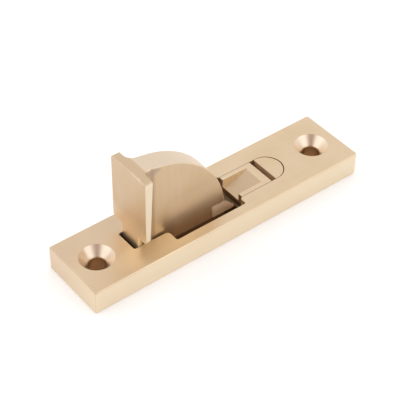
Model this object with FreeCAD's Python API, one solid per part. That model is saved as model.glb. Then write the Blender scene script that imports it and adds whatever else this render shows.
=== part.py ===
import FreeCAD, Part
import math
import os
from FreeCAD import Vector

# Sash stopper: a face plate let into the edge of a sash, a quadrant stop that folds into it on a cross pin, and a
# sprung thumb catch beside it. All lengths are in millimetres. The origin is at the centre of the plate's back,
# +X runs from the pivot end to the catch end, +Z points out of the face.

# Face plate
plate_length = 76.0
plate_width = 18.0
plate_thick = 6.3
plate_corner_r = 0.6  # upright corners
face_rim = 0.2  # broken edge round the face
back_edge_r = 0.5  # rounder rim of the back

# Countersunk holes for the two wood screws
screw_inset = 6.75  # hole centre from each end of the plate
screw_hole_r = 2.13
screw_sink_r = 4.09
screw_sink_depth = 2.3

# Pivot of the quadrant. The drop is also the distance from the pivot to the stop face, so the folded stop face
# comes level with the plate's face.
pivot_inset = 18.7  # pivot from the left end of the plate
pivot_drop = 3.0  # pivot below the face
pin_r = 1.2
pin_front_wall = 1.8  # plate left in front of the pin's blind end
pin_clearance = 0.05

# Quadrant stop. Heights are above the face with the stop raised.
web_width = 5.2  # the quarter disc between its two cheeks
hub_width = 6.0  # the hub round the pin and the stem of the flange
flange_width = 12.5  # the stop face
tip_height = 20.8
tip_crown = 0.35  # the tip's edge falls this much to each corner
tip_crown_r = 60.0
tip_corner_r = 0.6
flange_rim = 0.15  # broken edge round the stop face
shoulder_height = 3.0  # lower end of the wide part
shoulder_corner_r = 1.0
stem_corner_r = 0.3
flange_tip_thick = 2.05
flange_root_thick = 1.1
flange_blend_r = 1.6  # fillet from the flange into each cheek
arc_inset = 0.4  # rounded back of the quarter disc below the tip
arc_setback = 1.1  # its centre left of the pivot
arc_rise = 0.3  # its centre above the pivot
arc_edge_r = 0.3
tail_drop = 2.4  # underside of the tail below the pivot
tail_pad_length = 3.8
tail_pad_flare = 0.4
toe_overlap = 0.4  # toe's reach under the plate's skin
ear_width = 9.4
ear_length = 0.7
ear_height = 1.5

# Pocket for the quadrant, open through the plate
heel_gap = 1.0  # between the stop face and the pocket's end
throat_clearance = 0.1  # each side of the hub
throat_corner_r = 0.5
step_clearance = 0.7  # from the step to the folded shoulder, which swings past it
step_corner_r = 0.9
flange_clearance = 0.15  # each side of the folded flange
tip_gap = 1.2  # past the folded tip
pocket_corner_r = 0.4

# Slot and channel of the thumb catch
slot_width = 8.4
slot_mouth_r = 0.9
skin_thick = 3.0  # plate left above the channel
channel_width = 10.0
catch_clearance = 0.1  # each side of the catch and its filler
toe_clearance = 0.1

# Thumb catch
catch_gap = 0.7  # between the pocket and the catch's nose
catch_length = 8.95
catch_foot_inset = 0.9  # wide foot behind the nose
foot_clearance = 0.05  # above and below the wide foot
catch_travel = 1.4
scoop_width = 5.8
scoop_length = 7.3
scoop_depth = 2.0
scoop_corner_r = 0.6

# Half-round filler behind the catch, which closes the rest of the slot
filler_straight = 0.3  # straight sides in front of the half round
filler_end_gap = 0.3  # from the half round to the end of the slot

# Catch spring
spring_r = 1.0  # outside of the coil
spring_wire_r = 0.2
spring_wire_sides = 6  # flats that the wire's section is drawn with
spring_turns = 5.0
spring_bore_clearance = 0.2
spring_seat_depth = 4.0  # bore in the catch
spring_filler_depth = 3.0  # bore in the filler
spring_drop = 3.2  # axis below the face

# Keeper plate under the channel
keeper_thick = 1.3
keeper_setback = 1.6  # between the pocket and the keeper
keeper_end_margin = 4.0  # past the channel's round end
keeper_side_margin = 0.8  # plate left beside the keeper
keeper_corner_r = 1.0
keeper_clearance = 0.05
keeper_screw_inset = 1.6  # screw centre from the keeper's ends
keeper_screw_r = 0.75
keeper_head_r = 1.1
keeper_head_depth = 0.6
keeper_screw_length = 3.6
keeper_driver_width = 0.35
keeper_driver_depth = 0.3

# Places worked out from the sizes
face_z = plate_thick
left_end = -plate_length / 2
pivot_x = left_end + pivot_inset
pivot_z = face_z - pivot_drop
stop_face_x = pivot_x - pivot_drop
web_half = web_width / 2
hub_half = hub_width / 2
flange_half = flange_width / 2
tip_reach = tip_height + pivot_drop
arc_x = pivot_x - arc_setback
arc_z = pivot_z + arc_rise
arc_r = tip_reach - arc_rise - arc_inset
arc_end_x = arc_x + math.sqrt(arc_r**2 - (face_z - arc_z) ** 2)
shoulder_reach = shoulder_height + pivot_drop
pocket_start_x = stop_face_x - heel_gap
pocket_step_x = pivot_x + shoulder_reach - step_clearance
pocket_end_x = pivot_x + tip_reach + tip_gap
toe_reach = pocket_end_x - pivot_x + toe_overlap
throat_half = hub_half + throat_clearance
pocket_half = flange_half + flange_clearance
slot_half = slot_width / 2
channel_half = channel_width / 2
channel_top_z = face_z - skin_thick
catch_nose_x = pocket_end_x + catch_gap
catch_back_x = catch_nose_x + catch_length
catch_half = slot_half - catch_clearance
foot_half = channel_half - catch_clearance
foot_top_z = channel_top_z - foot_clearance
foot_bottom_z = keeper_thick + foot_clearance
filler_start_x = catch_back_x + catch_travel
filler_round_x = filler_start_x + filler_straight
slot_round_x = filler_round_x + filler_end_gap - catch_clearance
spring_z = face_z - spring_drop
spring_bore_r = spring_r + spring_bore_clearance
spring_start_x = catch_back_x - spring_seat_depth
spring_end_x = filler_start_x + spring_filler_depth
keeper_start_x = pocket_end_x + keeper_setback
keeper_end_x = slot_round_x + channel_half + keeper_end_margin
keeper_half = plate_width / 2 - keeper_side_margin
overrun = 1.0  # how far a cut runs past the face that it opens
near_enough = 1e-4  # two places closer than this are the same


def flat(u, v):
    """A point of a plan outline."""
    return Vector(u, v, 0)


def upright(u, v):
    """A point of an outline seen from the front."""
    return Vector(u, 0, v)


def endwise(u, v):
    """A point of an outline seen from the end."""
    return Vector(0, u, v)


def rounded_outline(corners, at):
    """A closed outline through corners (u, v, radius), each radius drawn as a tangent arc."""
    edges = []
    ends = []
    count = len(corners)
    for i in range(count):
        u, v, r = corners[i]
        before = corners[i - 1]
        after = corners[(i + 1) % count]
        corner = Vector(u, v, 0)
        back = (Vector(before[0], before[1], 0) - corner).normalize()
        on = (Vector(after[0], after[1], 0) - corner).normalize()
        half_angle = back.getAngle(on) / 2
        reach = r / math.tan(half_angle)
        middle = corner + (back + on).normalize() * (r / math.sin(half_angle) - r) if r else corner
        ends.append((corner + back * reach, middle, corner + on * reach, r))
    for i in range(count):
        start, middle, stop, r = ends[i]
        if r:
            edges.append(Part.Arc(at(start.x, start.y), at(middle.x, middle.y), at(stop.x, stop.y)).toShape())
        following = ends[(i + 1) % count][0]
        if (following - stop).Length > near_enough:
            edges.append(Part.LineSegment(at(stop.x, stop.y), at(following.x, following.y)).toShape())
    return Part.Wire(edges)


def regular_outline(sides, r, centre_u):
    """A regular outline seen from the front, within radius r of its centre."""
    turns = [2 * math.pi * i / sides for i in range(sides)]
    points = [upright(centre_u + r * math.cos(a), r * math.sin(a)) for a in turns]
    return Part.makePolygon(points + points[:1])


def mirrored(half):
    """The corners of a half outline, then the same ones across the centre line."""
    return half + [(u, -v, r) for u, v, r in reversed(half)]


def prism(wire, direction):
    """The outline's face drawn out along a direction."""
    return Part.Face(wire).extrude(direction)


def plan_prism(corners, low, high):
    """A plan outline between two heights."""
    solid = prism(rounded_outline(corners, flat), Vector(0, 0, high - low))
    solid.translate(Vector(0, 0, low))
    return solid


def cross_bar(r, y0, y1):
    """A round bar across the plate at the pivot."""
    return Part.makeCylinder(r, y1 - y0, Vector(pivot_x, y0, pivot_z), Vector(0, 1, 0))


def edges_at(shape, test):
    """The edges whose every sampled point passes the test."""
    chosen = []
    for edge in shape.Edges:
        points = edge.discretize(5)
        if all(test(p) for p in points):
            chosen.append(edge)
    return chosen


def near(a, b):
    return abs(a - b) < near_enough


def round_ended(start_x, round_x, half, low, high):
    """A block with a square start and a half-round end."""
    tall = high - low
    block = Part.makeBox(round_x - start_x, 2 * half, tall, Vector(start_x, -half, low))
    block = block.fuse(Part.makeCylinder(half, tall, Vector(round_x, 0, low))).removeSplitter()
    return block.common(Part.makeBox(round_x + half - start_x, 2 * half, tall, Vector(start_x, -half, low)))


def save(shape, node):
    solid = shape.Solids[0] if len(shape.Solids) == 1 else shape
    solid.exportStep(os.path.join("parts", node + ".step"))
    print(node, round(shape.Volume, 2), "mm3", len(shape.Solids), "solid", shape.isValid())


def keeper_screw_places():
    """Centres of the keeper's four screws, midway between the channel and the keeper's edges."""
    xs = (keeper_start_x + keeper_screw_inset, keeper_end_x - keeper_screw_inset)
    side = (channel_half + keeper_half) / 2
    return [(x, y) for x in xs for y in (-side, side)]


def wood_screw_cut(x):
    """The hole and countersink of one wood screw."""
    hole = Part.makeCylinder(screw_hole_r, plate_thick + 2 * overrun, Vector(x, 0, -overrun))
    slope = (screw_sink_r - screw_hole_r) / screw_sink_depth
    deep = screw_sink_depth + overrun
    sink = Part.makeCone(
        screw_hole_r, screw_hole_r + slope * deep, deep, Vector(x, 0, face_z - screw_sink_depth)
    )
    return hole.fuse(sink)


def base_plate():
    left, right, half = -plate_length / 2, plate_length / 2, plate_width / 2
    r = plate_corner_r
    plate = plan_prism([(left, -half, r), (right, -half, r), (right, half, r), (left, half, r)], 0, plate_thick)
    plate = plate.makeChamfer(face_rim, edges_at(plate, lambda p: near(p.z, face_z)))
    plate = plate.makeFillet(back_edge_r, edges_at(plate, lambda p: near(p.z, 0)))
    pocket = [
        (pocket_start_x, throat_half, throat_corner_r),
        (pocket_step_x, throat_half, step_corner_r),
        (pocket_step_x, pocket_half, pocket_corner_r),
        (pocket_end_x, pocket_half, pocket_corner_r),
    ]
    plate = plate.cut(plan_prism(mirrored(pocket), -overrun, face_z + overrun))
    mouth_x = pocket_end_x - 2 * overrun
    mouth = [
        (mouth_x, pocket_half, 0),
        (pocket_end_x, pocket_half, pocket_corner_r),
        (pocket_end_x, slot_half, slot_mouth_r),
        (slot_round_x, slot_half, 0),
    ]
    plate = plate.cut(plan_prism(mirrored(mouth), channel_top_z, face_z + overrun))
    plate = plate.cut(
        Part.makeCylinder(slot_half, skin_thick + overrun, Vector(slot_round_x, 0, channel_top_z))
    )
    plate = plate.cut(round_ended(mouth_x, slot_round_x, channel_half, -overrun, channel_top_z))
    plate = plate.cut(keeper_blank(-overrun, keeper_thick, 0))
    for x, y in keeper_screw_places():
        plate = plate.cut(Part.makeCylinder(keeper_screw_r, keeper_screw_length, Vector(x, y, 0)))
    for x in (left + screw_inset, right - screw_inset):
        plate = plate.cut(wood_screw_cut(x))
    plate = plate.cut(cross_bar(pin_r, -half + pin_front_wall, half + overrun))
    return plate


def pivot_pin():
    half = plate_width / 2
    return cross_bar(pin_r, -half + pin_front_wall, half)


def quadrant_profile():
    """The stop seen from the front, about its pivot, before the tip is cut: stop face, back, toe and underside."""
    tip_u = flange_tip_thick - pivot_drop
    across, above = tip_u + arc_setback, tip_reach - arc_rise
    lean = math.acos(arc_r / math.hypot(across, above)) + math.atan2(across, above)
    level = math.acos((pivot_drop - arc_rise) / arc_r)

    def on_back(angle):
        """A point of the rounded back, at an angle from upright."""
        return (arc_r * math.sin(angle) - arc_setback, arc_r * math.cos(angle) + arc_rise)

    touch = on_back(lean)
    bottom = on_back(level)
    toe_top = pivot_drop - skin_thick - toe_clearance
    toe_start = (pocket_end_x - toe_clearance - pivot_x, toe_top)
    toe_high = (math.sqrt(toe_reach**2 - toe_top**2), toe_top)
    toe_low = (math.sqrt(toe_reach**2 - tail_drop**2), -tail_drop)
    toe_angle = (math.asin(toe_top / toe_reach) + math.asin(-tail_drop / toe_reach)) / 2
    toe_middle = (toe_reach * math.cos(toe_angle), toe_reach * math.sin(toe_angle))

    def at(point):
        return Vector(pivot_x + point[0], 0, pivot_z + point[1])

    def line(a, b):
        return Part.LineSegment(at(a), at(b)).toShape()

    root = (-pivot_drop, 0)
    tip = (-pivot_drop, tip_reach + flange_tip_thick * math.tan(lean))
    arc_middle = on_back((lean + level) / 2)
    heel = (0, -tail_drop)
    return Part.Wire(
        [
            line(root, tip),
            line(tip, touch),
            Part.Arc(at(touch), at(arc_middle), at(bottom)).toShape(),
            line(bottom, toe_start),
            line(toe_start, toe_high),
            Part.Arc(at(toe_high), at(toe_middle), at(toe_low)).toShape(),
            line(toe_low, heel),
            line(heel, root),
        ]
    )


def tee_bar():
    """The flange and the web as a bar of T section: the flange tapers, and a blend runs down each inner corner."""
    low = face_z + shoulder_height - overrun
    high = face_z + tip_height + overrun
    slope = (flange_tip_thick - flange_root_thick) / (tip_height - shoulder_height)
    root_u = stop_face_x + flange_root_thick - slope * overrun
    tip_u = stop_face_x + flange_tip_thick + slope * overrun
    wedge = Part.makePolygon(
        [
            upright(stop_face_x, low),
            upright(stop_face_x, high),
            upright(tip_u, high),
            upright(root_u, low),
            upright(stop_face_x, low),
        ]
    )
    flange = prism(wedge, Vector(0, flange_width, 0))
    flange.translate(Vector(0, -flange_half, 0))
    web = Part.makeBox(tip_reach, web_width, high - low, Vector(stop_face_x, -web_half, low))
    bar = flange.fuse(web).removeSplitter()

    def in_corner(p):
        """The two upright corners between the flange and the cheeks."""
        return near(abs(p.y), web_half) and root_u - near_enough < p.x < tip_u + near_enough

    corners = [e for e in edges_at(bar, in_corner) if near(e.BoundBox.ZLength, high - low)]
    return bar.makeFillet(flange_blend_r, corners)


def flange_block():
    """The stop face's outline drawn out along the plate: crowned tip, rounded shoulders, narrow stem, broken rim."""
    top = face_z + tip_height
    shoulder = face_z + shoulder_height
    half = [
        (hub_half, -overrun, 0),
        (hub_half, shoulder, stem_corner_r),
        (flange_half, shoulder, shoulder_corner_r),
        (flange_half, top - tip_crown, tip_corner_r),
    ]
    left = [(-u, v, r) for u, v, r in reversed(half)]
    outline = rounded_outline(half + [(0, top, tip_crown_r)] + left, endwise)
    block = prism(outline, Vector(pocket_end_x + overrun - stop_face_x, 0, 0))
    block.translate(Vector(stop_face_x, 0, 0))

    def on_rim(p):
        """The wide part's rim on the stop face."""
        return near(p.x, stop_face_x) and p.z > shoulder - near_enough

    return block.makeChamfer(flange_rim, edges_at(block, on_rim))


def tail_pad(side):
    """A pad that flares out of one cheek at the tail, from the face down to the skin's underside."""
    low = channel_top_z - toe_clearance
    inner = web_half - overrun
    section = [(inner, face_z), (web_half, face_z), (web_half + tail_pad_flare, low), (inner, low), (inner, face_z)]
    start_x = arc_end_x - tail_pad_length
    pad = prism(Part.makePolygon([endwise(side * v, z) for v, z in section]), Vector(pocket_end_x - start_x, 0, 0))
    pad.translate(Vector(start_x, 0, 0))
    return pad


def toe_ears():
    """The cross piece at the toe that meets the underside of the plate's skin and stops the raised quadrant."""
    top = channel_top_z - toe_clearance
    start_x = pivot_x + toe_reach - ear_length
    bar = Part.makeBox(ear_length, ear_width, ear_height, Vector(start_x, -ear_width / 2, top - ear_height))
    return bar.common(cross_bar(toe_reach, -ear_width / 2, ear_width / 2))


def quadrant_blank():
    """Web, flange and hub within the stop's outlines."""
    profile = quadrant_profile()
    wide = prism(profile, Vector(0, flange_width, 0))
    wide.translate(Vector(0, -flange_half, 0))
    web = prism(profile, Vector(0, web_width, 0))
    web.translate(Vector(0, -web_half, 0))
    stem = Part.makeBox(flange_root_thick, hub_width, shoulder_reach, Vector(stop_face_x, -hub_half, pivot_z))
    bar = web.fuse(tee_bar().common(wide)).removeSplitter()

    def on_arc(p):
        """The two long edges of the rounded back."""
        away = math.hypot(p.x - arc_x, p.z - arc_z)
        return near(abs(p.y), web_half) and near(away, arc_r) and p.z > face_z - overrun

    bar = bar.makeFillet(arc_edge_r, edges_at(bar, on_arc))
    blank = bar.fuse(stem).common(flange_block())
    pads = tail_pad(1).fuse(tail_pad(-1)).common(wide)
    return blank.fuse([cross_bar(pivot_drop, -hub_half, hub_half), pads, toe_ears()]).removeSplitter()


def quadrant_stop():
    stop = quadrant_blank()
    return stop.cut(cross_bar(pin_r + pin_clearance, -hub_half - overrun, hub_half + overrun))


def spring_bore(start_x, length):
    return Part.makeCylinder(spring_bore_r, length, Vector(start_x, 0, spring_z), Vector(1, 0, 0))


def thumb_catch():
    upper = Part.makeBox(
        catch_length, 2 * catch_half, face_z - foot_top_z, Vector(catch_nose_x, -catch_half, foot_top_z)
    )
    foot = Part.makeBox(
        catch_length - catch_foot_inset,
        2 * foot_half,
        foot_top_z - foot_bottom_z,
        Vector(catch_nose_x + catch_foot_inset, -foot_half, foot_bottom_z),
    )
    block = upper.fuse(foot)
    half = scoop_width / 2
    ramp = Part.makePolygon(
        [
            upright(catch_nose_x - overrun, face_z + overrun),
            upright(catch_nose_x - overrun, face_z - scoop_depth * (1 + overrun / scoop_length)),
            upright(catch_nose_x + scoop_length * (1 + overrun / scoop_depth), face_z + overrun),
            upright(catch_nose_x - overrun, face_z + overrun),
        ]
    )
    scoop = prism(ramp, Vector(0, scoop_width, 0))
    scoop.translate(Vector(0, -half, 0))
    start_x, end_x = catch_nose_x - overrun, catch_nose_x + scoop_length
    plan = [(start_x, half, 0), (end_x, half, scoop_corner_r)]
    block = block.cut(scoop.common(plan_prism(mirrored(plan), 0, face_z + overrun)))
    return block.cut(spring_bore(spring_start_x, spring_seat_depth + overrun))


def slot_filler():
    upper = round_ended(filler_start_x, filler_round_x, catch_half, foot_top_z, face_z)
    foot = round_ended(filler_start_x, slot_round_x, foot_half, foot_bottom_z, foot_top_z)
    filler = upper.fuse(foot)
    return filler.cut(spring_bore(filler_start_x - overrun, spring_filler_depth + overrun))


def catch_spring():
    """A coil between the two bores."""
    length = spring_end_x - spring_start_x - 2 * spring_wire_r
    middle_r = spring_r - spring_wire_r
    path = Part.makeHelix(length / spring_turns, length, middle_r)
    section = regular_outline(spring_wire_sides, spring_wire_r, middle_r)
    coil = Part.Wire(path.Edges).makePipeShell([section], True, True)
    coil.rotate(Vector(0, 0, 0), Vector(0, 1, 0), 90)
    coil.translate(Vector(spring_start_x + spring_wire_r, 0, spring_z))
    return coil


def keeper_blank(low, high, margin):
    """The keeper's plan, grown inwards by a margin, between two heights."""
    x0, x1, y = keeper_start_x + margin, keeper_end_x - margin, keeper_half - margin
    r = keeper_corner_r
    return plan_prism([(x0, -y, r), (x1, -y, r), (x1, y, r), (x0, y, r)], low, high)


def keeper_screw(x, y, clearance):
    """A small cheese-headed screw from the back without its driver slot, or the room for its head."""
    shank = Part.makeCylinder(keeper_screw_r, keeper_screw_length, Vector(x, y, 0))
    head = Part.makeCylinder(keeper_head_r + clearance, keeper_head_depth, Vector(x, y, 0))
    return shank.fuse(head)


def keeper_plate():
    keeper = keeper_blank(0, keeper_thick, keeper_clearance)
    for x, y in keeper_screw_places():
        keeper = keeper.cut(keeper_screw(x, y, keeper_clearance))
    return keeper


def slotted_screw(x, y):
    """The keeper's screw with its driver slot."""
    slot = Part.makeBox(
        2 * keeper_head_r,
        keeper_driver_width,
        keeper_driver_depth,
        Vector(x - keeper_head_r, y - keeper_driver_width / 2, 0),
    )
    return keeper_screw(x, y, 0).cut(slot)


def main():
    os.makedirs("parts", exist_ok=True)
    save(base_plate(), "base_plate")
    save(pivot_pin(), "pivot_pin")
    save(quadrant_stop(), "quadrant_stop")
    save(thumb_catch(), "thumb_catch")
    save(slot_filler(), "slot_filler")
    save(catch_spring(), "catch_spring")
    save(keeper_plate(), "keeper_plate")
    for number, (x, y) in enumerate(keeper_screw_places(), 1):
        save(slotted_screw(x, y), "keeper_screw_" + str(number))


main()
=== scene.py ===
import math

import bpy
import numpy as np
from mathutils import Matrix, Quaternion, Vector


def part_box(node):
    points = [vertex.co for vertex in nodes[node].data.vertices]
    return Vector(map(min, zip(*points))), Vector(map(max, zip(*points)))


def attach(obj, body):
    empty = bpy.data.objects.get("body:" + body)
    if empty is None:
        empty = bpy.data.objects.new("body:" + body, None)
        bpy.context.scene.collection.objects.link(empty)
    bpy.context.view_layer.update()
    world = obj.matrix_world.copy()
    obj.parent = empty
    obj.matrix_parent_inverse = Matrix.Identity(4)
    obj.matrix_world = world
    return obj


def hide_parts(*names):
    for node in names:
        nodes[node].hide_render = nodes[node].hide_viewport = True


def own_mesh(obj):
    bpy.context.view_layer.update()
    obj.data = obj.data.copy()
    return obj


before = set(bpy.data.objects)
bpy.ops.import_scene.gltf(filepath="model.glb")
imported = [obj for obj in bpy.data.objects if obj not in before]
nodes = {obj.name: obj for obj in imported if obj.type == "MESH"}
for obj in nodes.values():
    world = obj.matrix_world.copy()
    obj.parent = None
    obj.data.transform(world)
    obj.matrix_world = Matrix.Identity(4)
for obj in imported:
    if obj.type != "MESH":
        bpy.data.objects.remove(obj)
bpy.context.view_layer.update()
print("frame loaded:", len(nodes), "parts")


# Small helpers for the materials. A share is a mask from 0 to 1.

def join(tree, socket, value):  # a value is a plain number or colour, or another node's output
    if isinstance(value, bpy.types.NodeSocket):
        tree.links.new(value, socket)
    else:
        socket.default_value = value


def calc(tree, operation, *values, clamp=False):  # one Math node
    node = tree.nodes.new("ShaderNodeMath")
    node.operation = operation
    node.use_clamp = clamp
    for socket, value in zip(node.inputs, values):
        join(tree, socket, value)
    return node.outputs[0]


def plus(tree, value, share, amount):  # the value and this share of an amount
    return calc(tree, "MULTIPLY_ADD", share, amount, value)


def minus(tree, first, second):
    return calc(tree, "SUBTRACT", first, second)


def unsigned(tree, value):
    return calc(tree, "ABSOLUTE", value)


def squares(tree, first, second):
    return calc(tree, "MULTIPLY_ADD", first, first, calc(tree, "MULTIPLY", second, second))


def distance(tree, first, second):  # from the origin of two axes
    return calc(tree, "SQRT", squares(tree, first, second))


def under(tree, value, edge):
    return calc(tree, "LESS_THAN", value, edge)


def over(tree, value, edge):
    return calc(tree, "GREATER_THAN", value, edge)


def past(tree, value, edge, soft):  # 0 at the edge, 1 a soft width on, or back where it is minus
    return calc(tree, "DIVIDE", minus(tree, value, edge), soft, clamp=True)


def outside(tree, share):
    return calc(tree, "SUBTRACT", 1.0, share, clamp=True)


def near(tree, value, width):  # 1 at 0, falling to 0 at the width on either side
    return outside(tree, calc(tree, "DIVIDE", unsigned(tree, value), width))


def both(tree, *shares):
    result = shares[0]
    for share in shares[1:]:
        result = calc(tree, "MULTIPLY", result, share, clamp=True)
    return result


def either(tree, *shares):
    result = shares[0]
    for share in shares[1:]:
        result = calc(tree, "MAXIMUM", result, share)
    return result


def blendValue(tree, share, first, second):  # first where the share is 0, second where it is 1
    node = tree.nodes.new("ShaderNodeMix")  # its sockets 2 and 3 are the values
    join(tree, node.inputs[0], share)
    join(tree, node.inputs[2], first)
    join(tree, node.inputs[3], second)
    return node.outputs[0]


def tint(tree, colour, tone, *shares):  # a tone over a colour, where all the shares reach
    node = tree.nodes.new("ShaderNodeMix")  # its sockets 6 and 7 are the colours
    node.data_type = "RGBA"
    join(tree, node.inputs[0], both(tree, *shares))
    join(tree, node.inputs[6], (*colour, 1) if isinstance(colour, tuple) else colour)
    join(tree, node.inputs[7], (*tone, 1) if isinstance(tone, tuple) else tone)
    return node.outputs[2]


def noise(tree, vector, cell, detail=2.0, roughness=0.55):  # cell is one lump's size on each axis
    scaled = tree.nodes.new("ShaderNodeVectorMath")
    scaled.operation = "DIVIDE"
    join(tree, scaled.inputs[0], vector)
    scaled.inputs[1].default_value = cell
    node = tree.nodes.new("ShaderNodeTexNoise")
    join(tree, node.inputs["Vector"], scaled.outputs[0])
    node.inputs["Scale"].default_value = 1.0
    node.inputs["Detail"].default_value = detail
    node.inputs["Roughness"].default_value = roughness
    return node.outputs[0]


def ripples(tree, value, pitch):  # even grooves along a value, from 0 to 1
    wave = calc(tree, "SINE", calc(tree, "MULTIPLY", value, 2 * math.pi / pitch))
    return calc(tree, "MULTIPLY_ADD", wave, 0.5, 0.5)


def vectorOf(tree, *values):
    node = tree.nodes.new("ShaderNodeCombineXYZ")
    for socket, value in zip(node.inputs, values):
        join(tree, socket, value)
    return node.outputs[0]


def axesOf(tree, vector):
    node = tree.nodes.new("ShaderNodeSeparateXYZ")
    join(tree, node.inputs[0], vector)
    return tuple(node.outputs)


def startMaterial(name):  # a new material with its shader and its Object coordinates in metres
    material = bpy.data.materials.new(name)
    material.use_nodes = True
    tree = material.node_tree
    place = tree.nodes.new("ShaderNodeTexCoord").outputs["Object"]
    return material, tree, tree.nodes["Principled BSDF"], place


def startMetal(name):  # the same for a metal, with its coordinates in millimetres
    material, tree, shader, place = startMaterial(name)
    shader.inputs["Metallic"].default_value = 1.0
    scaled = tree.nodes.new("ShaderNodeVectorMath")
    scaled.operation = "SCALE"
    join(tree, scaled.inputs[0], place)
    scaled.inputs["Scale"].default_value = 1000.0
    return material, tree, shader, scaled.outputs[0]


def endMetal(tree, shader, colour, roughness, height, depth):  # depth of the grooves, in metres
    bump = tree.nodes.new("ShaderNodeBump")
    bump.inputs["Strength"].default_value = 1.0
    bump.inputs["Distance"].default_value = depth
    join(tree, bump.inputs["Height"], height)
    join(tree, shader.inputs["Normal"], bump.outputs[0])
    join(tree, shader.inputs["Base Color"], colour)
    join(tree, shader.inputs["Roughness"], roughness)


def dress(material, *names):
    for name in names:
        for slot in nodes[name].material_slots:
            slot.material = material


def addObject(name, data, material=None):
    item = bpy.data.objects.new(name, data)
    bpy.context.scene.collection.objects.link(item)
    if material:
        data.materials.append(material)
    return item


# The brass that most parts share. Lengths in the materials are millimetres. A pair whose name
# ends in From is the edge where a share starts and the width over which it grows.
brass = {
    "colour": (0.765, 0.600, 0.415),
    "warm": (0.735, 0.560, 0.365),
    "pale": (0.830, 0.700, 0.540),
    "roughness": 0.45,
    "roughnessSpread": 0.14,
    "grainDepth": 0.000010,  # metres
    "fineCell": (0.14, 7.0),  # a fine brush line's width and length
    "coarseCell": (0.55, 24.0),
    "coarseDepth": 0.8,  # beside the fine lines
    "streakMix": (0.65, 0.35),  # of the fine and the coarse lines
    "streakFrom": (0.5, 0.3),
    "streakShare": 0.5,
    "cloudCell": 9.0,
    "cloudFrom": (0.35, 0.35),
    "detail": 3.0,
}


def grain(tree, vector, axis):  # fine and coarse brush lines along an axis, each from 0 to 1
    lines = []
    for width, length in (brass["fineCell"], brass["coarseCell"]):
        cell = [width] * 3
        cell[axis] = length
        lines.append(noise(tree, vector, cell, brass["detail"]))
    return lines


def satin(
    tree, vector, lines, tone=brass["colour"], warm=brass["warm"], streaks=brass["streakShare"]
):  # colour, roughness and height of brushed brass
    fine, coarse = lines
    cloud = noise(tree, vector, [brass["cloudCell"]] * 3)
    colour = tint(tree, tone, warm, past(tree, cloud, *brass["cloudFrom"]))
    mixed = [calc(tree, "MULTIPLY", line, part) for line, part in zip(lines, brass["streakMix"])]
    streak = past(tree, calc(tree, "ADD", *mixed), *brass["streakFrom"])
    colour = tint(tree, colour, brass["pale"], streak, streaks)
    spread = minus(tree, fine, 0.5)  # noise lies round one half
    roughness = plus(tree, brass["roughness"], spread, brass["roughnessSpread"])
    return colour, roughness, plus(tree, fine, coarse, brass["coarseDepth"])


# The base plate: long brush lines, turned countersinks, milled hollows and a worn rim.
plate = {
    "halfLength": 38.0,
    "halfWidth": 9.0,
    "face": 6.3,
    "endFrom": (0.05, 0.1),
    "sideSkin": 0.1,
    "sideFrom": (0.1, 0.5),
    # The sides and ends are painted paler, a painted sheen
    "sidePaintedSheen": (0.850, 0.730, 0.555),
    "sideShare": 0.85,
    # Painted shade on the top towards its left end, a painted golden reflection in front of the
    # pocket, a painted dusky reflection behind the flange
    "topAndEndShade": (0.690, 0.520, 0.370),
    "leftXFrom": (-10.0, -28.0),
    "leftYFrom": (-1.0, 6.0),
    "leftShare": 0.25,
    "leftMore": 0.50,
    "endYFrom": (-9.0, 18.0),
    "endShare": 0.6,
    "goldPaintedReflection": (0.955, 0.810, 0.550),
    "goldMiddle": (-17.5, -5.6),
    "goldHalf": (13.0, 5.0),
    "goldFrom": (1.0, -0.8),
    "goldShare": 0.52,
    "duskPaintedReflection": (0.560, 0.430, 0.335),
    "duskX": -22.0,
    "duskReach": 8.0,
    "duskYFrom": (3.0, 4.0),
    "duskShare": 0.30,
    # The screw holes with their turned cones
    "screwPlace": 31.25,
    "sinkRadius": 4.12,
    "sinkDepth": 2.6,
    "sinkFrom": (0.02, 0.05),
    "holeRadius": 2.3,
    "turnedPitch": 0.21,
    "boredPitch": 0.38,
    # The bores are painted darker, a painted shade
    "borePaintedShade": (0.640, 0.480, 0.310),
    "turnedDepth": 0.08,
    "turnedGrain": 0.2,
    "turnedColour": (0.845, 0.705, 0.565),
    "turnedRoughness": 0.29,
    "turnedSpread": 0.06,
    # The milled pocket and slot. Their walls are painted dark as painted shade, the pocket's front
    # wall lighter as painted light, and the slot's corner black as a painted shadow
    "milledFaceFrom": (0.5, 0.2),
    "milledRimFrom": (0.6, 0.2),
    "milledBackFrom": (0.05, 0.05),
    "milledShare": 0.9,
    "milledDull": 0.12,
    "pocketPaintedShade": (0.470, 0.330, 0.200),
    "frontWallPaintedLight": (0.900, 0.720, 0.510),
    "frontWallFrom": (-3.3, -0.5),
    "slotShadowColour": (0.130, 0.085, 0.050),
    "slotShadowX": 16.05,
    "slotShadowReach": 0.9,
    "slotShadowYFrom": (2.4, 0.5),
    "recessShadeShare": 0.9,
    # Wear on the rim and on the lips of the countersinks
    "rimWidth": 0.32,
    "cornerWidth": 0.64,
    "lipRadius": 4.09,
    "lipWidth": 0.14,
    "lipDepth": 0.06,
    "rimFrom": (0.05, 0.2),
    "wearCell": 1.6,
    "wearSpread": 0.4,
    "wearFrom": (0.45, 0.5),
    "wearShare": 0.25,
}


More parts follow.
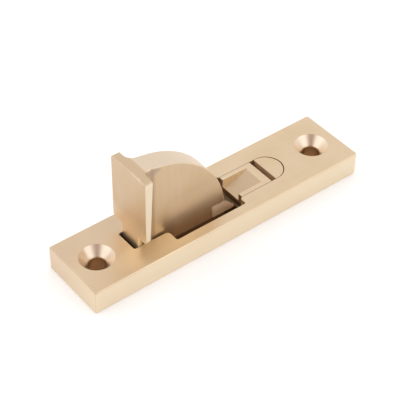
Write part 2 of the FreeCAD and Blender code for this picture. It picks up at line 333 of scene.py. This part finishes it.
def plateFinish():
    material, tree, shader, vector = startMetal("brushedPlate")
    x, y, z = axesOf(tree, vector)
    fromEnd = minus(tree, plate["halfLength"], unsigned(tree, x))
    fromSide = minus(tree, plate["halfWidth"], unsigned(tree, y))
    fromFace = minus(tree, plate["face"], z)
    onEnd = outside(tree, past(tree, fromEnd, *plate["endFrom"]))
    alongPlate, alongEnd = grain(tree, vector, 0), grain(tree, vector, 1)
    lines = [blendValue(tree, onEnd, *pair) for pair in zip(alongPlate, alongEnd)]
    colour, roughness, height = satin(tree, vector, lines)

    # Painted shade, and painted reflections of the flange, on the top
    leftwards = past(tree, x, *plate["leftXFrom"])
    rearwards = past(tree, y, *plate["leftYFrom"])
    leftShare = plus(tree, plate["leftShare"], rearwards, plate["leftMore"])
    colour = tint(tree, colour, plate["topAndEndShade"], leftwards, leftShare)
    fromGold = [
        calc(tree, "DIVIDE", minus(tree, place, middle), half)
        for place, middle, half in zip((x, y), plate["goldMiddle"], plate["goldHalf"])
    ]
    inGold = past(tree, squares(tree, *fromGold), *plate["goldFrom"])
    colour = tint(tree, colour, plate["goldPaintedReflection"], inGold, plate["goldShare"])
    duskX = near(tree, minus(tree, x, plate["duskX"]), plate["duskReach"])
    duskY = past(tree, y, *plate["duskYFrom"])
    colour = tint(tree, colour, plate["duskPaintedReflection"], duskX, duskY, plate["duskShare"])
    # Painted sheen: the sides and ends made paler
    onSide = under(tree, calc(tree, "MINIMUM", fromSide, fromEnd), plate["sideSkin"])
    onSide = both(tree, onSide, past(tree, fromFace, *plate["sideFrom"]))
    colour = tint(tree, colour, plate["sidePaintedSheen"], onSide, plate["sideShare"])
    # Painted shade on the ends, darker towards the back
    endY = past(tree, y, *plate["endYFrom"])
    colour = tint(tree, colour, plate["topAndEndShade"], onEnd, onSide, endY, plate["endShare"])

    radius = distance(tree, minus(tree, unsigned(tree, x), plate["screwPlace"]), y)
    inHole = under(tree, radius, plate["holeRadius"])
    inCone = both(
        tree, under(tree, radius, plate["sinkRadius"]), under(tree, fromFace, plate["sinkDepth"])
    )
    inside = either(tree, inHole, inCone)
    rings = ripples(tree, radius, plate["turnedPitch"])
    turned = blendValue(tree, inHole, rings, ripples(tree, z, plate["boredPitch"]))
    remains = calc(tree, "MULTIPLY", lines[0], plate["turnedGrain"])
    height = blendValue(tree, inside, height, plus(tree, remains, turned, plate["turnedDepth"]))
    turnedRoughness = plus(tree, plate["turnedRoughness"], turned, plate["turnedSpread"])
    roughness = blendValue(tree, inside, roughness, turnedRoughness)
    belowLip = past(tree, fromFace, *plate["sinkFrom"])
    inSink = both(tree, inside, outside(tree, inHole), belowLip)
    colour = tint(tree, colour, plate["turnedColour"], inSink)
    # Painted shade in the bores
    colour = tint(tree, colour, plate["borePaintedShade"], inHole)

    milled = both(
        tree,
        past(tree, fromFace, *plate["milledFaceFrom"]),
        past(tree, fromSide, *plate["milledRimFrom"]),
        past(tree, fromEnd, *plate["milledRimFrom"]),
        outside(tree, inside),
        past(tree, z, *plate["milledBackFrom"]),
    )
    # Painted shade on the milled walls, painted light on the pocket's front wall, a painted shadow
    # in the slot's corner
    onFrontWall = past(tree, y, *plate["frontWallFrom"])
    hollow = tint(tree, plate["pocketPaintedShade"], plate["frontWallPaintedLight"], onFrontWall)
    colour = tint(tree, colour, hollow, milled, plate["milledShare"])
    slotShadowX = near(tree, minus(tree, x, plate["slotShadowX"]), plate["slotShadowReach"])
    inCorner = both(tree, slotShadowX, past(tree, y, *plate["slotShadowYFrom"]))
    colour = tint(tree, colour, plate["slotShadowColour"], milled, inCorner, plate["recessShadeShare"])
    roughness = plus(tree, roughness, milled, plate["milledDull"])

    atFace, atSide, atEnd = [
        near(tree, place, plate["rimWidth"]) for place in (fromFace, fromSide, fromEnd)
    ]
    corner = [near(tree, place, plate["cornerWidth"]) for place in (fromSide, fromEnd)]
    lip = near(tree, minus(tree, radius, plate["lipRadius"]), plate["lipWidth"])
    rim = either(
        tree,
        both(tree, atFace, atSide),
        both(tree, atFace, atEnd),
        both(tree, *corner),
        both(tree, near(tree, fromFace, plate["lipDepth"]), lip),
    )
    patches = noise(tree, vector, [plate["wearCell"]] * 3)
    worn = past(tree, plus(tree, rim, patches, plate["wearSpread"]), *plate["wearFrom"])
    onRim = past(tree, rim, *plate["rimFrom"])
    colour = tint(tree, colour, brass["pale"], worn, onRim, plate["wearShare"])
    endMetal(tree, shader, colour, roughness, height, brass["grainDepth"])
    return material


dress(plateFinish(), "base_plate")
print("base plate finished")


# The folding stop: upright brush lines, a linished back, painted shade beside the flange.
stop = {
    # The stop's brass, a darker copy of the plate's: a painted shade
    "colour": (0.662, 0.500, 0.335),
    "warm": (0.642, 0.475, 0.298),
    "streakShare": 0.36,
    # The rounded back
    "arcCentre": (-20.4, 3.6),
    "arcRadius": 23.1,
    "arcFrom": (22.8, 0.2),
    "arcStartFrom": (-19.9, 0.4),
    # The back is painted paler, a painted sheen
    "arcPaintedSheen": (0.810, 0.675, 0.530),
    "arcShare": 0.8,
    # The cheeks and the front get a painted golden reflection lower down, but not the tongue
    # behind the flange
    "footPaintedReflection": (0.950, 0.770, 0.550),
    "footFrom": (14.5, -8.0),
    "footShare": 0.9,
    "tongueFrom": (-14.5, 3.0),
    "frontSkin": -21.8,
    # The flange
    "flangeFace": -22.3,
    "flangeHalf": 6.25,
    "flangeThick": 2.3,
    "tip": 27.1,
    "tipCrown": 120.0,
    "sideSkin": 0.06,
    # The flange's sides are painted paler, a painted sheen
    "sidePaintedSheen": (0.820, 0.702, 0.535),
    "sideShare": 0.9,
    # Painted shade in the blend between flange and cheek, which is also made duller, with a line
    # of painted shadow beside it
    "blendStart": 1.0,
    "blendEndFrom": (-16.4, -1.8),
    "blendInner": 2.58,
    "blendOuterFrom": (5.2, -1.8),
    "blendSideFrom": (0.3, 0.3),
    "blendTipFrom": (0.5, 0.6),
    "blendShadeColour": (0.520, 0.370, 0.240),
    "blendShadeShare": 0.55,
    "blendDull": 0.12,
    "creaseX": -17.8,
    "creaseWidth": 0.7,
    "creaseFrom": (2.5, 0.05),
    "creaseShadowColour": (0.430, 0.300, 0.195),
    "creaseShare": 0.75,
    # Painted shade low down in the pocket and the slot
    "lowShadeFrom": (3.1, -0.5),
    "heelFrom": (5.5, -0.5),
    "recessShadeShare": 0.85,
    # The pads at the tail, painted lighter as painted light, and the toe beyond them, painted dark
    # as painted shade
    "faceZ": 6.32,
    "cheekFrom": (2.61, 0.04),
    "padStartFrom": (-1.3, 0.15),
    "padEndFrom": (5.0, 0.15),
    "padPaintedLight": (0.955, 0.795, 0.600),
    "padDark": (0.850, 0.675, 0.495),
    "mottleCell": (0.9, 0.9, 0.7),
    "mottleFrom": (0.4, 0.25),
    "toeFrom": (2.5, 0.15),
    "toeShadeColour": (0.195, 0.125, 0.070),
    "padDull": 0.25,
    # Scuffs along the front edge of the tip, a mottled spot of painted shade where the back starts
    "scuffColour": (0.860, 0.745, 0.640),
    "scuffCell": 1.1,
    "scuffDetail": 4.0,
    "scuffRoughness": 0.7,
    "scuffEdge": 0.5,
    "scuffFrontDown": 1.0,
    "scuffSideDown": 2.0,
    "scuffWeight": 0.22,
    "scuffFrom": (0.62, 0.12),
    "borderFrom": (0.02, 0.3),
    "scuffYFrom": (1.0, -3.0),
    "scuffShare": 0.55,
    "scuffDull": 0.12,
    "shadeSpot": (-17.2, 25.4),
    "shadeSpotReach": (3.4, 1.6),
    "shadeSpotWeight": 0.8,
    "shadeSpotFrom": (1.70, 0.3),
    "shadeSpotSkin": 2.25,
    "shadeSpotColour": (0.450, 0.345, 0.270),
    "shadeSpotShare": 0.65,
}


def stopFinish():
    material, tree, shader, vector = startMetal("brushedStop")
    x, y, z = axesOf(tree, vector)
    across, above = [
        minus(tree, place, centre) for place, centre in zip((x, z), stop["arcCentre"])
    ]
    radius = distance(tree, across, above)
    angle = calc(tree, "ARCTAN2", across, above)
    rolled = vectorOf(tree, radius, y, calc(tree, "MULTIPLY", angle, stop["arcRadius"]))
    offFlange = past(tree, x, *stop["arcStartFrom"])
    onArc = both(tree, past(tree, radius, *stop["arcFrom"]), offFlange)
    upright, aroundArc = grain(tree, vector, 2), grain(tree, rolled, 2)
    lines = [blendValue(tree, onArc, *pair) for pair in zip(upright, aroundArc)]
    colour, roughness, height = satin(
        tree, vector, lines, stop["colour"], stop["warm"], stop["streakShare"]
    )
    onFront = under(tree, x, stop["frontSkin"])
    offTongue = either(tree, past(tree, x, *stop["tongueFrom"]), onFront)
    # A painted golden reflection low down on the cheeks and the front
    atFoot = past(tree, z, *stop["footFrom"])
    colour = tint(tree, colour, stop["footPaintedReflection"], atFoot, offTongue, stop["footShare"])
    # Painted sheen on the back
    colour = tint(tree, colour, stop["arcPaintedSheen"], onArc, stop["arcShare"])

    outward = unsigned(tree, y)
    fromSide = minus(tree, stop["flangeHalf"], outward)
    crown = calc(tree, "DIVIDE", calc(tree, "MULTIPLY", y, y), stop["tipCrown"])
    fromTip = minus(tree, minus(tree, stop["tip"], crown), z)
    fromFlangeFace = minus(tree, x, stop["flangeFace"])
    onFlange = under(tree, fromFlangeFace, stop["flangeThick"])
    # Painted sheen on the flange's sides
    onFlangeSide = both(tree, onFlange, under(tree, fromSide, stop["sideSkin"]))
    colour = tint(tree, colour, stop["sidePaintedSheen"], onFlangeSide, stop["sideShare"])

    # Painted shade in the blend, and a line of painted shadow on the cheek beside it
    inBlend = both(
        tree,
        over(tree, fromFlangeFace, stop["blendStart"]),
        past(tree, x, *stop["blendEndFrom"]),
        past(tree, fromSide, *stop["blendSideFrom"]),
        past(tree, fromTip, *stop["blendTipFrom"]),
        over(tree, outward, stop["blendInner"]),
        past(tree, outward, *stop["blendOuterFrom"]),
    )
    colour = tint(tree, colour, stop["blendShadeColour"], inBlend, stop["blendShadeShare"])
    inCrease = near(tree, minus(tree, x, stop["creaseX"]), stop["creaseWidth"])
    onCheek = past(tree, outward, *stop["creaseFrom"])
    colour = tint(tree, colour, stop["creaseShadowColour"], inCrease, onCheek, stop["creaseShare"])
    roughness = plus(tree, roughness, inBlend, stop["blendDull"])

    # Painted shade low down on the stop and its front, in the toe's dark colour
    inHeel = both(tree, onFront, past(tree, z, *stop["heelFrom"]))
    deep = either(tree, past(tree, z, *stop["lowShadeFrom"]), inHeel)
    colour = tint(tree, colour, stop["toeShadeColour"], deep, stop["recessShadeShare"])
    offCheek = past(tree, outward, *stop["cheekFrom"])
    below = under(tree, z, stop["faceZ"])
    atPad, behindPad = [past(tree, x, *stop[edge]) for edge in ("padStartFrom", "padEndFrom")]
    onPad = both(tree, atPad, below, offCheek, outside(tree, behindPad))
    # Painted light on the pads, with a random mottle
    lumps = noise(tree, vector, stop["mottleCell"], brass["detail"])
    mottled = past(tree, lumps, *stop["mottleFrom"])
    colour = tint(tree, colour, tint(tree, stop["padPaintedLight"], stop["padDark"], mottled), onPad)
    # Painted shade on the toe
    onSlope = both(tree, past(tree, x, *stop["toeFrom"]), outside(tree, offCheek))
    onToe = both(tree, either(tree, behindPad, onSlope), below)
    colour = tint(tree, colour, stop["toeShadeColour"], onToe)
    for share in (onPad, onToe):
        roughness = plus(tree, roughness, share, stop["padDull"])

    spots = noise(
        tree, vector, [stop["scuffCell"]] * 3, stop["scuffDetail"], stop["scuffRoughness"]
    )
    frontEdge, sideEdge = [
        near(tree, value, stop["scuffEdge"]) for value in (fromFlangeFace, fromSide)
    ]
    border = either(
        tree,
        both(tree, frontEdge, near(tree, fromTip, stop["scuffFrontDown"])),
        both(tree, onFlange, sideEdge, near(tree, fromTip, stop["scuffSideDown"])),
    )
    scuffed = both(
        tree,
        past(tree, plus(tree, spots, border, stop["scuffWeight"]), *stop["scuffFrom"]),
        past(tree, border, *stop["borderFrom"]),
        past(tree, y, *stop["scuffYFrom"]),
    )
    colour = tint(tree, colour, stop["scuffColour"], scuffed, stop["scuffShare"])
    roughness = plus(tree, roughness, scuffed, stop["scuffDull"])
    # A mottled spot of painted shade where the back starts
    atShadeSpot = [
        near(tree, minus(tree, place, middle), reach)
        for place, middle, reach in zip((x, z), stop["shadeSpot"], stop["shadeSpotReach"])
    ]
    shadeSpotted = plus(tree, calc(tree, "ADD", *atShadeSpot), spots, stop["shadeSpotWeight"])
    shadeSpotted = past(tree, shadeSpotted, *stop["shadeSpotFrom"])
    onSkin = over(tree, outward, stop["shadeSpotSkin"])
    colour = tint(tree, colour, stop["shadeSpotColour"], shadeSpotted, onSkin, stop["shadeSpotShare"])
    endMetal(tree, shader, colour, roughness, height, brass["grainDepth"])
    return material


dress(stopFinish(), "quadrant_stop")
print("stop finished")


# The thumb catch and the filler behind it: brushed like the plate, with a cross-cut scoop.
catch = {
    "face": 6.3,
    "scoopFrom": (0.04, 0.1),
    "scoopFloor": 4.2,
    "scoopHalf": 2.87,
    # The scoop is painted darker, a painted shade
    "scoopPaintedShade": (0.600, 0.450, 0.300),
    "scoopShare": 0.9,
    "scoopDull": 0.10,
    "cutCell": (0.16, 3.0, 0.16),
    "wallY": 2.90,
    "wallWidth": 0.04,
    # Its walls get a painted golden reflection
    "wallPaintedReflection": (0.960, 0.800, 0.560),
    "noseX": 6.43,
    # The nose's front is painted dark brown, a painted shade
    "noseShadeColour": (0.660, 0.450, 0.270),
    "fillerX": 16.78,
    # The filler's front is painted lighter, painted light
    "fillerPaintedLight": (0.950, 0.700, 0.460),
    "fillerDull": 0.2,
}


def catchFinish():
    material, tree, shader, vector = startMetal("brushedCatch")
    x, y, z = axesOf(tree, vector)
    fine, coarse = grain(tree, vector, 0)
    outward = unsigned(tree, y)
    between = both(
        tree,
        past(tree, minus(tree, catch["face"], z), *catch["scoopFrom"]),
        over(tree, z, catch["scoopFloor"]),
    )
    inScoop = both(tree, between, under(tree, outward, catch["scoopHalf"]))
    onWall = near(tree, minus(tree, outward, catch["wallY"]), catch["wallWidth"])
    onNose = both(tree, under(tree, x, catch["noseX"]), under(tree, y, catch["scoopHalf"]))
    cross = noise(tree, vector, catch["cutCell"], brass["detail"])
    fine = blendValue(tree, inScoop, fine, cross)
    colour, roughness, height = satin(tree, vector, (fine, coarse))
    # Painted shade in the scoop and a painted golden reflection on its walls
    colour = tint(tree, colour, catch["scoopPaintedShade"], inScoop, catch["scoopShare"])
    colour = tint(tree, colour, catch["wallPaintedReflection"], between, onWall)
    # Painted shade on the nose
    colour = tint(tree, colour, catch["noseShadeColour"], onNose)
    roughness = plus(tree, roughness, inScoop, catch["scoopDull"])
    endMetal(tree, shader, colour, roughness, height, brass["grainDepth"])
    return material


def fillerFinish():
    material, tree, shader, vector = startMetal("brushedFiller")
    colour, roughness, height = satin(tree, vector, grain(tree, vector, 0))
    onFront = under(tree, axesOf(tree, vector)[0], catch["fillerX"])
    # Painted light on the filler's front
    colour = tint(tree, colour, catch["fillerPaintedLight"], onFront)
    roughness = plus(tree, roughness, onFront, catch["fillerDull"])
    endMetal(tree, shader, colour, roughness, height, brass["grainDepth"])
    return material


dress(catchFinish(), "thumb_catch")
dress(fillerFinish(), "slot_filler")
print("catch and filler finished")


# The keeper on the back: rolled sheet, a little duller and stained.
keeper = {
    "colour": (0.700, 0.545, 0.360),
    "stain": (0.560, 0.410, 0.260),
    "stainCell": 3.5,
    "stainDetail": 5.0,
    "stainRoughness": 0.65,
    "stainFrom": (0.48, 0.25),
    "stainShare": 0.6,
    "stainDull": 0.1,
    "roughness": 0.36,
    "roughnessSpread": 0.12,
}


def keeperFinish():
    material, tree, shader, vector = startMetal("rolledKeeper")
    fine, coarse = grain(tree, vector, 0)
    cell = [keeper["stainCell"]] * 3
    patches = noise(tree, vector, cell, keeper["stainDetail"], keeper["stainRoughness"])
    stained = past(tree, patches, *keeper["stainFrom"])
    colour = tint(tree, keeper["colour"], keeper["stain"], stained, keeper["stainShare"])
    roughness = plus(tree, keeper["roughness"], fine, keeper["roughnessSpread"])
    roughness = plus(tree, roughness, stained, keeper["stainDull"])
    height = plus(tree, fine, coarse, brass["coarseDepth"])
    endMetal(tree, shader, colour, roughness, height, brass["grainDepth"])
    return material


dress(keeperFinish(), "keeper_plate")
print("keeper finished")


# The keeper's four screws: faced on the lathe, rings round each head.
screw = {
    "middleX": 16.775,
    "halfSpanX": 7.875,
    "halfSpanY": 6.6,
    "colour": (0.745, 0.585, 0.385),
    # The slots are painted darker, a painted shade
    "screwSlotShade": (0.560, 0.420, 0.270),
    "slotFrom": (0.06, 0.1),
    "slotShare": 0.6,
    "ringPitch": 0.12,
    "ringDepth": 0.4,
    "speckleCell": 0.25,
    "speckleFrom": (0.55, 0.3),
    "roughness": 0.24,
    "roughnessSpread": 0.12,
    "depth": 0.000005,
}


def screwFinish():
    material, tree, shader, vector = startMetal("turnedScrew")
    x, y, z = axesOf(tree, vector)
    fromMiddle = unsigned(tree, minus(tree, x, screw["middleX"]))
    fromX = minus(tree, fromMiddle, screw["halfSpanX"])
    fromY = minus(tree, unsigned(tree, y), screw["halfSpanY"])
    rings = ripples(tree, distance(tree, fromX, fromY), screw["ringPitch"])
    speckle = noise(tree, vector, [screw["speckleCell"]] * 3, brass["detail"])
    inSlot = past(tree, z, *screw["slotFrom"])
    # Painted shade in the slots
    colour = tint(tree, screw["colour"], screw["screwSlotShade"], inSlot, screw["slotShare"])
    colour = tint(tree, colour, brass["pale"], past(tree, speckle, *screw["speckleFrom"]))
    roughness = plus(tree, screw["roughness"], speckle, screw["roughnessSpread"])
    height = plus(tree, speckle, rings, screw["ringDepth"])
    endMetal(tree, shader, colour, roughness, height, screw["depth"])
    return material


dress(screwFinish(), *[name for name in nodes if name.startswith("keeper_screw")])
print("keeper screws finished")


# The steel of the pin and the spring: lines with a faint cloud under them.
steel = {
    "cloudFrom": (0.4, 0.3),
    "roughnessSpread": 0.14,
}


def steelFinish(name, piece):
    material, tree, shader, vector = startMetal(name)
    lines = noise(tree, vector, piece["lineCell"], brass["detail"])
    cloud = noise(tree, vector, piece["cloudCell"], piece["cloudDetail"])
    clouded = past(tree, cloud, *steel["cloudFrom"])
    colour = tint(tree, piece["colour"], piece["dark"], clouded)
    roughness = plus(tree, piece["roughness"], lines, steel["roughnessSpread"])
    endMetal(tree, shader, colour, roughness, lines, piece["depth"])
    return material


# The pivot pin: ground, so its lines run round it.
pin = {
    "colour": (0.600, 0.590, 0.570),
    "dark": (0.470, 0.455, 0.430),
    "lineCell": (3.0, 0.10, 3.0),
    "cloudCell": (1.5, 1.5, 1.5),
    "cloudDetail": 3.0,
    "roughness": 0.28,
    "depth": 0.000005,
}

dress(steelFinish("groundPin", pin), "pivot_pin")
print("pivot pin finished")


# The catch's spring, wound from round wire with a closed turn at each end. Its own lengths are
# metres.
spring = {
    "wireRadius": 0.00019,
    "clear": 0.00001,
    "openTurns": 5.0,
    "closedTurns": 1.0,
    "closedPitch": 1.02,  # in wires
    "stepsPerTurn": 48,
    "wireSides": 14,
    "keep": 0.8323,
    "colour": (0.520, 0.515, 0.500),
    "dark": (0.380, 0.370, 0.355),
    "lineCell": (0.5, 0.12, 0.12),
    "cloudCell": (1.2, 0.8, 0.8),
    "cloudDetail": 2.0,
    "roughness": 0.30,
    "depth": 0.000004,
}


def unit(rows):  # each row's vector at length 1
    return rows / np.linalg.norm(rows, axis=1, keepdims=True)


def windSpring():
    # A helix along X. Its advance per turn is one wire at the ends and the open pitch between,
    # eased from one to the other. The wire's circle is carried on the helix's normal and
    # binormal, and each end closes on a centre point.
    low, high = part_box("catch_spring")
    wire, closedTurns = spring["wireRadius"], spring["closedTurns"]
    turns = spring["openTurns"] + 2 * closedTurns
    along = np.linspace(0, turns, int(turns * spring["stepsPerTurn"]) + 1)
    share = np.clip(np.minimum(along, turns - along) / closedTurns, 0, 1) ** 2
    opened = np.concatenate(([0.0], np.cumsum((share[1:] + share[:-1]) / 2)))
    room = (high.x - low.x) - 2 * wire
    closed = 2 * wire * spring["closedPitch"]
    advance = closed * along + (room - closed * turns) * opened / opened[-1]
    angle = 2 * np.pi * along
    outward = np.stack((np.zeros_like(angle), np.cos(angle), np.sin(angle)), 1)
    radius = (high.y - low.y) / 2 - wire - spring["clear"]
    centre = radius * outward + (np.array(low) + np.array(high)) / 2
    centre[:, 0] = low.x + wire + advance
    aside = unit(np.cross(unit(np.gradient(centre, axis=0)), outward))
    sides = spring["wireSides"]
    around = np.arange(sides)[None, :, None] * 2 * np.pi / sides
    circle = np.cos(around) * outward[:, None] + np.sin(around) * aside[:, None]
    rows = len(along)
    tube = (centre[:, None] + wire * circle).reshape(-1, 3)
    points = np.concatenate((tube, centre[:1], centre[-1:]))

    row, column = np.meshgrid(np.arange(rows - 1) * sides, np.arange(sides), indexing="ij")
    after = (column + 1) % sides
    here, there = row, row + sides
    quads = np.stack((here + column, here + after, there + after, there + column), -1)
    side = np.arange(sides)
    onward, last = (side + 1) % sides, (rows - 1) * sides
    frontCap = np.stack((np.full(sides, rows * sides), onward, side), 1)
    rearCap = np.stack((np.full(sides, rows * sides + 1), last + side, last + onward), 1)
    mesh = bpy.data.meshes.new("coil")
    faces = quads.reshape(-1, 4).tolist() + frontCap.tolist() + rearCap.tolist()
    mesh.from_pydata(points.tolist(), [], faces)
    mesh.shade_smooth()
    mesh.update()
    return addObject("catchCoil", mesh, steelFinish("drawnWire", spring))


coil = windSpring()
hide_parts("catch_spring")
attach(coil, "base")
low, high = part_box("catch_spring")
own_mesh(coil)
print("spring wound:", len(coil.data.polygons), "faces")


# A plain white table that keeps a soft contact shadow, painted dark under the plate as painted
# shade. It lets light and sight through from below, and where solid metal covers it, so the part's
# back can be seen too.
table = {
    "half": 3.0,
    "height": -0.00005,
    "colour": (0.86, 0.86, 0.86),
    "roughness": 0.9,
    "glow": 0.24,
    "plateHalf": (0.0374, 0.0084),
    "pocketHalf": (0.0158, 0.0070),
    "pocketMiddle": -0.0078,
    "holePlace": 0.03125,
    "holeRadius": 0.0024,
    # Under the pocket and the holes the table is painted dark, a painted shade
    "pocketShadeOnTable": (0.40, 0.28, 0.185),
    "holeShadeOnTable": (0.88, 0.64, 0.47),
}


def squareSheet(name, half, height, material):
    mesh = bpy.data.meshes.new(name)
    corners = [(-half, -half), (half, -half), (half, half), (-half, half)]
    mesh.from_pydata([(x, y, height) for x, y in corners], [], [(0, 1, 2, 3)])
    return addObject(name, mesh, material)


def within(tree, x, y, halves):  # 1 inside a rectangle round the origin
    return both(
        tree, *[under(tree, unsigned(tree, value), half) for value, half in zip((x, y), halves)]
    )


def seenDirectly(tree):  # 1 for what the camera sees, also in metal or through glass
    light = tree.nodes.new("ShaderNodeLightPath")
    rays = ("Is Camera Ray", "Is Glossy Ray", "Is Transmission Ray")
    return either(tree, *[light.outputs[ray] for ray in rays])


def layTable():
    material, tree, shader, vector = startMaterial("whitePaper")
    shader.inputs["Roughness"].default_value = table["roughness"]
    shader.inputs["Specular IOR Level"].default_value = 0.0
    shader.inputs["Emission Color"].default_value = (1, 1, 1, 1)
    x, y = axesOf(tree, vector)[:2]
    covered = within(tree, x, y, table["plateHalf"])
    radius = distance(tree, minus(tree, unsigned(tree, x), table["holePlace"]), y)
    atHole = under(tree, radius, table["holeRadius"])
    atPocket = within(tree, minus(tree, x, table["pocketMiddle"]), y, table["pocketHalf"])
    # Painted shade on the table under the pocket and the holes
    beneath = tint(tree, table["pocketShadeOnTable"], table["holeShadeOnTable"], atHole)
    join(tree, shader.inputs["Base Color"], tint(tree, table["colour"], beneath, covered))
    glow = both(tree, seenDirectly(tree), outside(tree, covered), table["glow"])
    join(tree, shader.inputs["Emission Strength"], glow)
    underMetal = both(tree, covered, outside(tree, either(tree, atHole, atPocket)))
    fromBelow = tree.nodes.new("ShaderNodeNewGeometry").outputs["Backfacing"]
    join(tree, shader.inputs["Alpha"], outside(tree, either(tree, underMetal, fromBelow)))
    top = squareSheet("tableTop", table["half"], table["height"], material)


layTable()
print("table laid")


# Soft studio light: an even white room and large round lamps.
studio = {
    "room": 1.0,
    "aim": (0.0, 0.0, 0.008),
    "lamps": {
        "right": {"place": (0.38, -0.70, 0.55), "size": 0.90, "strength": 0.36},
        "left": {"place": (-0.80, 0.10, 0.46), "size": 0.80, "strength": 0.32},
        "back": {"place": (-0.43, 0.54, 0.66), "size": 0.75, "strength": 0.42},
    },
}


def pointAt(item, spot, aim, axis="-Z", roll=0.0):  # sets it on a spot with an axis to the aim
    item.location = spot
    item.rotation_mode = "QUATERNION"
    aimed = (Vector(aim) - Vector(spot)).to_track_quat(axis, "Y")
    item.rotation_quaternion = aimed @ Quaternion((0, 0, 1), math.radians(roll))


def lightStudio():
    world = bpy.data.worlds.new("room")
    bpy.context.scene.world = world
    world.use_nodes = True
    background = world.node_tree.nodes["Background"]
    background.inputs["Color"].default_value = (1, 1, 1, 1)
    background.inputs["Strength"].default_value = studio["room"]
    for name, lamp in studio["lamps"].items():
        data = bpy.data.lights.new(name, "AREA")
        data.shape = "DISK"
        data.size = lamp["size"]
        # A disc's brightness is its power over pi times its area
        data.energy = lamp["strength"] * math.pi * (lamp["size"] / 2) ** 2 * math.pi
        pointAt(addObject(name, data), lamp["place"], studio["aim"])


lightStudio()
print("studio lit")


# A large dark card with a soft rim, hung in the room beside the camera. The metal mirrors it,
# and the camera itself doesn't see it.
card = {
    "place": (-0.687, -0.846, 1.032),
    "half": 0.90,
    "rimFrom": (0.30, 0.55),
    "colour": (0.400, 0.260, 0.190),
    "clear": (1.0, 1.0, 1.0),
}


def hangCard():
    material, tree, shader, vector = startMaterial("darkCloth")
    shader.inputs["Base Color"].default_value = (0, 0, 0, 1)
    shader.inputs["Specular IOR Level"].default_value = 0.0
    shader.inputs["Roughness"].default_value = 1.0
    shader.inputs["Emission Strength"].default_value = studio["room"]
    fromMiddle = distance(tree, *axesOf(tree, vector)[:2])
    atRim = past(tree, fromMiddle, *card["rimFrom"])
    join(tree, shader.inputs["Emission Color"], tint(tree, card["colour"], card["clear"], atRim))
    item = squareSheet("darkCard", card["half"], 0.0, material)
    item.visible_camera = False
    pointAt(item, card["place"], studio["aim"], "Z")


hangCard()
print("card hung")


# The camera, at the photograph's viewing angle. Lens and sensor are millimetres, roll degrees.
camera = {
    "place": (-0.140861, -0.173308, 0.211830),
    "aim": (0.00229, 0.00615, 0.0),
    "roll": 0.884,
    "lens": 119.09,
    "sensor": 36.0,
    "clip": (0.01, 20.0),
}


def setCamera():
    data = bpy.data.cameras.new("camera")
    data.lens = camera["lens"]
    data.sensor_width = camera["sensor"]
    data.clip_start, data.clip_end = camera["clip"]
    item = addObject("camera", data)
    pointAt(item, camera["place"], camera["aim"], roll=camera["roll"])
    bpy.context.scene.camera = item
    bpy.context.scene.view_settings.view_transform = "Standard"


setCamera()
print("camera set")
